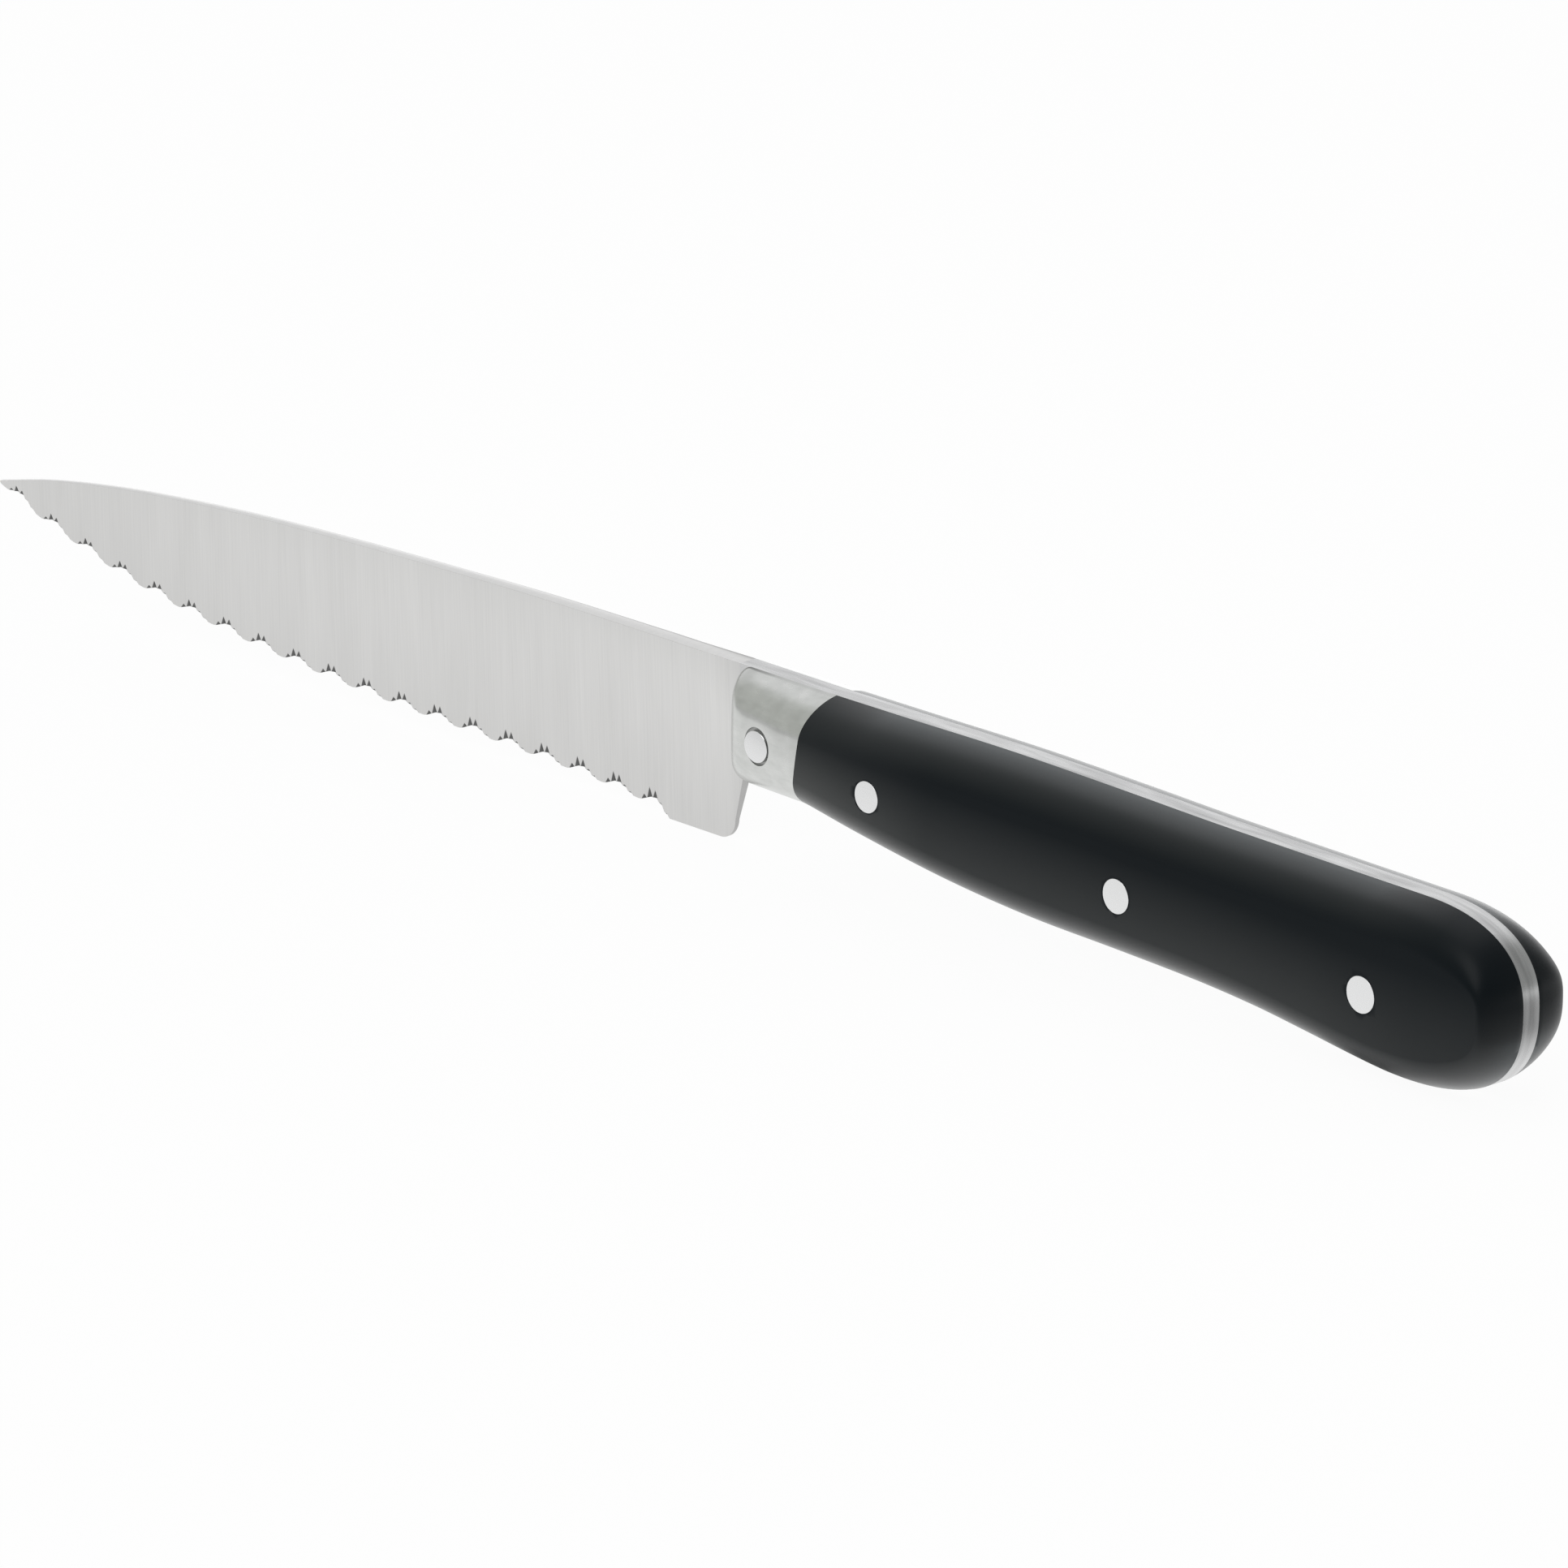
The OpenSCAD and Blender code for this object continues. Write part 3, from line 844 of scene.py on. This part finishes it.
# %% Helpers for a scale's flank, its gloss and its painted light
flank_shares = (0.02, 0.07, 0.13, 0.2, 0.27, 0.34, 0.41, 0.46, 0.49)
scale_crown = 0.4
bolster_crown = 0.35
seam_turn = math.asin((half_steel + seam_cut) / half_handle)
scale_turns = np.concatenate([[seam_turn], np.linspace(steel_turn, math.pi / 2, round_steps)[2:]])

near_end_gloss, front_gloss_run = 0.25, 9
near_gloss_start, near_gloss_run = -4, 0.7 * butt_len
far_end_gloss, far_gloss_start, far_gloss_run = 0.35, 7.5, 3.5
wide_power = 0.65
low_gloss_place, low_gloss_run = 0.15, 0.4

low_reflection_place, low_reflection_run = 0.38, 1.38
front_reflection, front_reflection_x, front_reflection_run = 0.25, 32, 18
butt_reflection, butt_reflection_x, butt_reflection_run = 0.65, 86, 15


def crowned(points, high, low, crown):
    """Points with their flank a little lower towards the top and the underside than in the middle."""
    place = np.clip((2 * points[..., 2] - high - low) / (high - low), -1, 1)
    swollen = (points[..., 1] - half_steel) / scale_t
    points[..., 1] -= crown * swollen * place ** 2
    return place


def gloss_and_sheen_mask(x, place, side):
    """How glossy an edge is, which also sets its painted sheen. It is low at the ends of the top."""
    turns = np.concatenate([[1.0], np.cos(scale_turns), np.zeros(len(flank_shares))])[:, None]
    wide = turns ** wide_power
    front = mix(near_end_gloss, 1, ramp(x, bolster_len, front_gloss_run))
    near_butt = mix(1, near_end_gloss, ramp(x - butt_x, near_gloss_start, near_gloss_run))
    far_butt = mix(1, far_end_gloss, ramp(x - butt_x, far_gloss_start, far_gloss_run))
    top = wide * far_butt if side > 0 else turns * front * near_butt
    return mix(top, wide, ramp(-place, -low_gloss_place, low_gloss_run))


def reflection_paint(x, place):
    """How much the flank is painted paler, as painted reflected light: most below, more at the front and
    less at the butt.
    """
    front = ramp(-x, -front_reflection_x, front_reflection_run)
    reflected = ramp(-place, -low_reflection_place, low_reflection_run) * (1 + front) + front_reflection * front
    return reflected * mix(1, butt_reflection, ramp(x, butt_reflection_x, butt_reflection_run))


# %% Make the two scales


def make_scale(name, side):
    """The scale on one side, -1 for the near one."""
    first, flank = scale_ring(steel_turn, seam_cut), scale_ring(math.pi / 2)
    inner = [mix(flank, flank[::-1], share) for share in flank_shares]
    rings = np.stack([first] + [scale_ring(turn) for turn in scale_turns] + inner)
    place = crowned(rings, *tang_lines(np.minimum(rings[..., 0], butt_x)), scale_crown)
    rings[..., 1] *= side
    obj = add_skin(name, rings, angle=30)
    store(obj, "gloss_and_sheen", gloss_and_sheen_mask(rings[..., 0], place, side).ravel())
    store(obj, "painted_reflection", reflection_paint(rings[..., 0], place).ravel())
    obj.data.materials.append(scale_finish)
    return obj


near_scale = make_scale("black_scale_near", -1)
far_scale = make_scale("black_scale_far", 1)
tell(near_scale)

# %% [markdown]
# A bolster starts as a thin lip on the blade and swells to the thickness of the scale behind it, like the
# bow of a boat. Its sections run across the knife. They lean more and more towards the handle, so that
# the bolster ends on the same leaning plane as the scale.

# %% Make the two bolsters
bolster_steps = 70
lip_steps = 26
flank_steps = 12
lip_crowding = 1.6
# The band of painted shade along the bolster's seam with the tang, and how it fades.
seam_shade_w = 0.4
seam_shade_least, seam_shade_run = 0.15, 0.5
seam_shade_turn = math.asin((half_steel + seam_shade_w) / half_handle)


def corner_drop(x):
    """How much the round corner takes off the bolster's front."""
    short = np.clip(bolster_round - x, 0, None)
    return bolster_round - np.sqrt(bolster_round ** 2 - short ** 2)


def bolster_profile(t):
    """One section, as points from the top to the underside, with t from 0 at the lip to 1 at the end."""
    turns = np.concatenate([[steel_turn], np.linspace(seam_shade_turn, math.pi / 2, lip_steps - 1)])
    drops = side_round * (math.cos(steel_turn) - np.cos(turns))
    flank = np.linspace(0, 1, flank_steps)[1:-1]
    end_top, end_low = -drops[-1], -bolster_depth + drops[-1]
    end_z = np.concatenate([-drops, mix(end_top, end_low, flank), -bolster_depth + drops[::-1]])
    x = t * seam_x(end_z, 0.0)
    grow = swell(x) / scale_t
    lip = corner_drop(x)
    turn = np.concatenate([turns, np.full(len(flank), math.pi / 2), turns[::-1]])
    y = half_steel + grow * (half_handle * np.sin(turn) - half_steel)
    half = len(turns)
    drop = np.sqrt(grow) * np.concatenate([drops, np.zeros(len(flank)), drops[::-1]])
    z = np.concatenate([-lip[:half] - drop[:half], np.zeros(len(flank)),
                        -bolster_depth + lip[-half:] + drop[-half:]])
    z[half:-half] = mix(z[half - 1], z[-half], flank)
    points = np.stack([x, y, z], 1)
    crowned(points, 0, -bolster_depth, bolster_crown)
    return points


def make_bolster(name, side, seam_shade):
    """The bolster on one side. Its seam with the tang is painted darker, as painted shade, most of all at
    the front.
    """
    steps = np.linspace(0, 1, bolster_steps) ** lip_crowding
    rings = np.stack([bolster_profile(t) for t in steps])
    rings[:, :, 1] *= side
    obj = add_skin(name, rings, angle=30)
    obj.data.materials.append(bolster_finish)
    # Painted shade along the seam, on the near bolster only.
    tone = np.zeros(rings.shape[:2])
    tone[:, [0, 1, -2, -1]] = seam_shade * mix(1, seam_shade_least, ramp(steps[:, None], 0, seam_shade_run))
    store(obj, "ground", tone.ravel())
    return obj


near_bolster = make_bolster("bolster_near", -1, seam_shade=0.16)
far_bolster = make_bolster("bolster_far", 1, seam_shade=0.0)
tell(near_bolster)

# %% [markdown]
# The rivets sit in drilled holes. The hole's rim is broken by a tiny bevel, and it is that bevel which
# draws the fine dark ring round a flush rivet. A turned cutter, narrow inside and flared at the surface,
# takes the hole and its bevel out of a piece with one Boolean modifier.

# %% Places of the rivets
rivet_centres = {name: (x, float(underside_z(np.array(x))) * rivet_depth_shares[name])
                 for name, x in rivet_xs.items()}
rivet_centres["bolster_rivet"] = (bolster_rivet_x, -bolster_depth * bolster_rivet_share)
print({name: tuple(round(v, 2) for v in place) for name, place in rivet_centres.items()})

# %% Turned cutters and the drilling
round_sides = 96


def turned(place, profile):
    """A closed round cutter about an axis along Y, from [radius, y] pairs."""
    x, z = place
    turns = np.linspace(0, 2 * math.pi, round_sides, endpoint=False)
    rings = [np.stack([x + r * np.cos(turns), np.full(round_sides, y), z + r * np.sin(turns)], 1)
             for r, y in profile]
    return add_skin("cutter", rings)


def drill(obj, cutters):
    for cutter in cutters:
        modifier = obj.modifiers.new("hole", "BOOLEAN")
        modifier.operation = "DIFFERENCE"
        modifier.solver = "EXACT"
        modifier.object = cutter
    freeze(obj)
    for cutter in cutters:
        bpy.data.objects.remove(cutter)
    show_crisp(obj, angle=30)


# %% Drill the scales
hole_start = 0.5
rim = 0.06


def scale_cutters(side):
    cutters = []
    for name, diameter in rivet_ds.items():
        hole_r = diameter / 2 + rivet_gap
        profile = [[hole_r, side * hole_start], [hole_r, side * (half_handle - rim)],
                   [hole_r + rim, side * half_handle], [hole_r + 2 * rim, side * (half_handle + rim)]]
        cutters.append(turned(rivet_centres[name], profile))
    return cutters


for obj, side in ((near_scale, -1), (far_scale, 1)):
    drill(obj, scale_cutters(side))
tell(near_scale)

# %% Drill the bolsters, with the groove round their rivet
bolster_hole_r = bolster_rivet_d / 2 + rivet_gap
bolster_face = half_steel + float(swell(np.array(bolster_rivet_x)))
ring_r = bolster_rivet_d / 2 + ring_w
floor_y = bolster_face - ring_depth
ring_bevel = 0.06
cutter_past = 1
# The groove round the bolster rivet is painted dark, as painted shade.
ring_tone = 0.09
tone_past, tone_rise = 0.01, 0.08


def darken_ring(obj):
    """The groove's floor and walls are painted dark, as painted shade in the groove."""
    x, y, z = (1000 * values_of(obj.data.vertices, "co", 3) + centre).T
    away = np.hypot(x - rivet_centres["bolster_rivet"][0], z - rivet_centres["bolster_rivet"][1])
    inside = (away < ring_r + tone_past) & (np.abs(y) < floor_y + tone_rise)
    layer = obj.data.attributes["ground"].data
    tone = values_of(layer, "value", 1)[:, 0]
    layer.foreach_set("value", np.where(inside, ring_tone, tone).astype(np.float32))


for obj, side in ((near_bolster, -1), (far_bolster, 1)):
    profile = [[bolster_hole_r, side * hole_start], [bolster_hole_r, side * floor_y],
               [ring_r - ring_bevel, side * floor_y], [ring_r, side * (floor_y + ring_bevel)],
               [ring_r, side * (half_handle + cutter_past)]]
    drill(obj, [turned(rivet_centres["bolster_rivet"], profile)])
    darken_ring(obj)
tell(near_bolster)

# %% Let the scales and bolsters ride and stand for their solids
for obj, node, slot in ((near_scale, "near_scale", "black_scale"), (far_scale, "far_scale", "black_scale"),
                        (near_bolster, "near_bolster", "bolster_steel"),
                        (far_bolster, "far_bolster", "bolster_steel")):
    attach(obj, "root")
    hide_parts(node)
    print(obj.name, "stands for", node)

# %% [markdown]
# All four rivets are the same thing at different sizes: a pin whose ends are bevelled and then crowned a
# little. One Geometry Nodes tree turns a single point into such a pin, and each rivet is that tree with
# its own sizes. The head is built up by extruding the end faces and shrinking them a few times.

# %% The rivet's tree
head_steps = 4


def rivet_tree():
    tree = start_shape_tree("rivet", {"Diameter": 1.0, "Length": 1.0, "Bevel": 1.0, "Crown": 1.0,
                                      "Material": rivet_finish})
    size = tree.inputs
    shank = size["Length"] - 2 * (size["Bevel"] + size["Crown"])
    body = tree.node("GeometryNodeMeshCylinder", {"fill_type": "NGON"},
                     {"Vertices": round_sides, "Side Segments": 1, "Radius": size["Diameter"] / 2,
                      "Depth": shank})
    ends = tree.node("FunctionNodeBooleanMath", {"operation": "OR"},
                     {0: tree.more(body, "Top"), 1: tree.more(body, "Bottom")})
    shape = body
    edge = (size["Diameter"] - 2 * size["Bevel"]) / size["Diameter"]
    layers = [(size["Bevel"], edge)]
    for step in range(1, head_steps + 1):
        inner, outer = 1 - step / (head_steps + 1), 1 - (step - 1) / (head_steps + 1)
        layers.append((size["Crown"] * (outer ** 2 - inner ** 2), inner / outer))
    for rise, shrink_by in layers:
        pulled = tree.node("GeometryNodeExtrudeMesh", {"mode": "FACES"},
                           {"Mesh": shape, "Selection": ends, "Offset Scale": rise, "Individual": True})
        ends = tree.more(pulled, "Top")
        shape = tree.node("GeometryNodeScaleElements", {"domain": "FACE"},
                          {"Geometry": pulled, "Selection": ends, "Scale": shrink_by})
    upright = tree.node("GeometryNodeTransform", None, {"Geometry": shape, "Rotation": (math.pi / 2, 0, 0)})
    placed = tree.node("GeometryNodeInstanceOnPoints", None,
                       {"Points": size["Geometry"], "Instance": upright})
    end_shape_tree(tree, placed)
    return tree


# %% Make the four rivets
pins = rivet_tree()
long_pin = 2 * (bolster_face + bolster_rivet_proud)
flush_pin = handle_t - 2 * rivet_sink
flush_bevel, flush_crown = 0.015, 0.005
proud_bevel, proud_crown = 0.03, 0.04
pin_sizes = {name: (diameter, flush_pin, flush_bevel, flush_crown) for name, diameter in rivet_ds.items()}
pin_sizes["bolster_rivet"] = (bolster_rivet_d, long_pin, proud_bevel, proud_crown)

for name, (x, z) in rivet_centres.items():
    spot = bpy.data.meshes.new(name)
    spot.from_pydata([(np.array([x, 0, z]) - centre) / 1000], [], [])
    rivet = place_object(name + "_pin", spot)
    sizes = dict(zip(("Diameter", "Length", "Bevel", "Crown"), (v / 1000 for v in pin_sizes[name])))
    run_tree(rivet, pins, {**sizes, "Material": rivet_finish})
    show_crisp(rivet, angle=20)
    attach(rivet, "root")
    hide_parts(name)
    tell(rivet)

# %% [markdown]
# The knife was photographed on pure white, in light so soft that it leaves hardly a shadow. A floor
# right under the knife keeps what shadow there is. For the camera, and for what the metal mirrors, most of
# the floor's white is a glow of its own, as Light Path tells those rays apart from the light's. The metal
# mirrors a duller floor on the near side, past the butt and close under the belly, and a brighter one
# behind the knife.

# %% Floor
floor_z = float(cad_low.z)
floor_half = 3.0
front_start, front_reach, front_level = 0.034, 0.022, 0.6
end_start, end_reach, end_level = 0.110, 0.013, 0.33
belly_x, belly_half, belly_reach, belly_level = 0.0935, 0.002, 0.007, 0.2
belly_across, belly_across_reach = 0.0045, 0.003
back_start, back_reach, back_glow = 0.04, 0.05, 0.5
camera_white = 1.01
glow_part = 0.94


def fade(value, start, reach):
    """From 0 to 1 as the value runs from start over the reach."""
    return ((value - start) / reach).clamp()


def background_ray(tree):
    path = tree.node("ShaderNodeLightPath")
    return tree.more(path, "Is Camera Ray").at_least(
        tree.more(path, "Is Glossy Ray").at_least(tree.more(path, "Is Transmission Ray")))


def make_floor():
    mesh = bpy.data.meshes.new("floor")
    corners = [(-floor_half, -floor_half, floor_z), (floor_half, -floor_half, floor_z),
               (floor_half, floor_half, floor_z), (-floor_half, floor_half, floor_z)]
    mesh.from_pydata(corners, [], [(0, 1, 2, 3)])
    obj = place_object("floor", mesh)
    material, tree = start_material("white floor")
    along = tree.node("ShaderNodeSeparateXYZ", None, {0: tree.place})
    across = tree.more(along, "Y")
    # The duller patches are painted shade in the floor's glow, seen only in what the metal mirrors.
    front = fade(-across, front_start, front_reach)
    end = fade(along, end_start, end_reach)
    aside = along - belly_x
    below = (1 - fade(aside.sum("ABSOLUTE", aside), belly_half, belly_reach)) * (
        1 - fade(across.sum("ABSOLUTE", across), belly_across, belly_across_reach))
    dim = (1 - (1 - front_level) * front) * (1 - (1 - end_level) * end) * (1 - (1 - belly_level) * below)
    mirrored = dim + back_glow * fade(across, back_start, back_reach)
    seen = tree.node("ShaderNodeLightPath", out="Is Camera Ray")
    level = mirrored + (camera_white - mirrored) * seen
    matt = tree.node("ShaderNodeBsdfDiffuse", None, {"Color": (0.9, 0.9, 0.9, 1)})
    glow = tree.node("ShaderNodeEmission", None, {"Color": (1, 1, 1, 1), "Strength": level})
    both = tree.node("ShaderNodeMixShader", None, {0: glow_part * background_ray(tree), 1: matt, 2: glow})
    tree.node("ShaderNodeOutputMaterial", None, {"Surface": both})
    mesh.materials.append(material)


make_floor()
print("floor", round(1000 * floor_z, 2), "mm from the middle of the knife")

# %% [markdown]
# What steel looks like is mostly what it mirrors, so the world is not one even white. It is lighter
# overhead, behind the knife and past the tip, and dim past the butt, which gives the steel the slow change
# of tone that it has in the photograph. The camera itself sees plain white.

# %% World
low_sky, high_sky = (0.59, 0.60, 0.575), (0.85, 0.85, 0.855)
sky_start, sky_reach = 0.69, 0.22
behind_weight = 1.2
tip_weight, tip_start, tip_reach = 0.45, 0.69, 0.25
butt_sky, butt_start, butt_reach = (0.32, 0.325, 0.32), -0.15, 0.3
behind_start, behind_reach = 0.6, 0.1
horizon_start, horizon_reach = 0.08, 0.12


def make_world():
    world = bpy.data.worlds.new("soft white")
    world.use_nodes = True
    world.node_tree.nodes.clear()
    tree = Tree(world.node_tree)
    along = tree.node("ShaderNodeSeparateXYZ", None, {0: tree.node("ShaderNodeTexCoord", out="Generated")})
    x, y, z = (tree.more(along, axis) for axis in "XYZ")
    past_tip = tip_weight * fade(-x, tip_start, tip_reach)
    past_butt = fade(x, butt_start, butt_reach)
    colour = shade(tree, low_sky, high_sky, fade(z + behind_weight * y + past_tip, sky_start, sky_reach))
    colour = shade(tree, colour, butt_sky, past_butt)
    low = 1 - fade(z, horizon_start, horizon_reach)
    horizon = fade(y, behind_start, behind_reach) * low * (1 - past_butt)
    white = tree.node("ShaderNodeBackground", None, {"Color": (1, 1, 1, 1), "Strength": 1.0})
    light = tree.node("ShaderNodeBackground", None, {"Color": colour, "Strength": 1 + horizon})
    camera_ray = tree.node("ShaderNodeLightPath")
    both = tree.node("ShaderNodeMixShader", None, {0: camera_ray, 1: light, 2: white})
    tree.node("ShaderNodeOutputWorld", None, {"Surface": both})
    bpy.context.scene.world = world
    print("world:", world.name)


make_world()

# %% [markdown]
# Two large soft lamps finish the light. The stronger one hangs high on the near side, and the other almost
# overhead, towards the tip.

# %% Lamps


def soft_lamp(name, place, size, power):
    """A round lamp that points at the middle of the knife."""
    data = bpy.data.lights.new(name, "AREA")
    data.shape = "DISK"
    data.size = size
    data.energy = power
    lamp = place_object(name, data)
    lamp.location = place
    lamp.rotation_euler = (-Vector(place)).to_track_quat("-Z", "Y").to_euler()
    print(name, "of", power, "W")


soft_lamp("high lamp", place=(0.25, -0.9, 1.1), size=0.9, power=4.0)
soft_lamp("top lamp", place=(-0.35, 0.15, 1.2), size=1.0, power=1.0)

# %% [markdown]
# The camera stands where the photograph was taken from: about 47 degrees round from the knife's side and
# 18 degrees above it, two metres away, with a long lens that keeps the perspective as flat as it is there.

# %% Camera
camera_turn = 46.556
camera_rise = 18.348
camera_roll = 0.378
camera_away = 2.0
focal_pixels, photo_pixels = 24480, 1932
sensor_w = 36
aim = Vector((0.0069, 0.0, -0.00215))

a, e, r = (math.radians(v) for v in (camera_turn, camera_rise, camera_roll))
back = Vector((math.sin(a) * math.cos(e), -math.cos(a) * math.cos(e), math.sin(e)))
level = Vector((math.cos(a), math.sin(a), 0))
right = math.cos(r) * level + math.sin(r) * back.cross(level)
turn = Matrix((right, back.cross(right), back)).transposed()

camera = place_object("camera", bpy.data.cameras.new("camera"))
camera.data.sensor_width = sensor_w
camera.data.lens = sensor_w * (focal_pixels / photo_pixels)
camera.data.clip_start, camera.data.clip_end = 0.05, 50
camera.matrix_world = Matrix.Translation(aim + camera_away * back) @ turn.to_4x4()
bpy.context.scene.camera = camera
bpy.context.scene.view_settings.view_transform = "Standard"
print("lens", round(camera.data.lens, 1), "mm")

# %% Finish
bpy.context.view_layer.update()
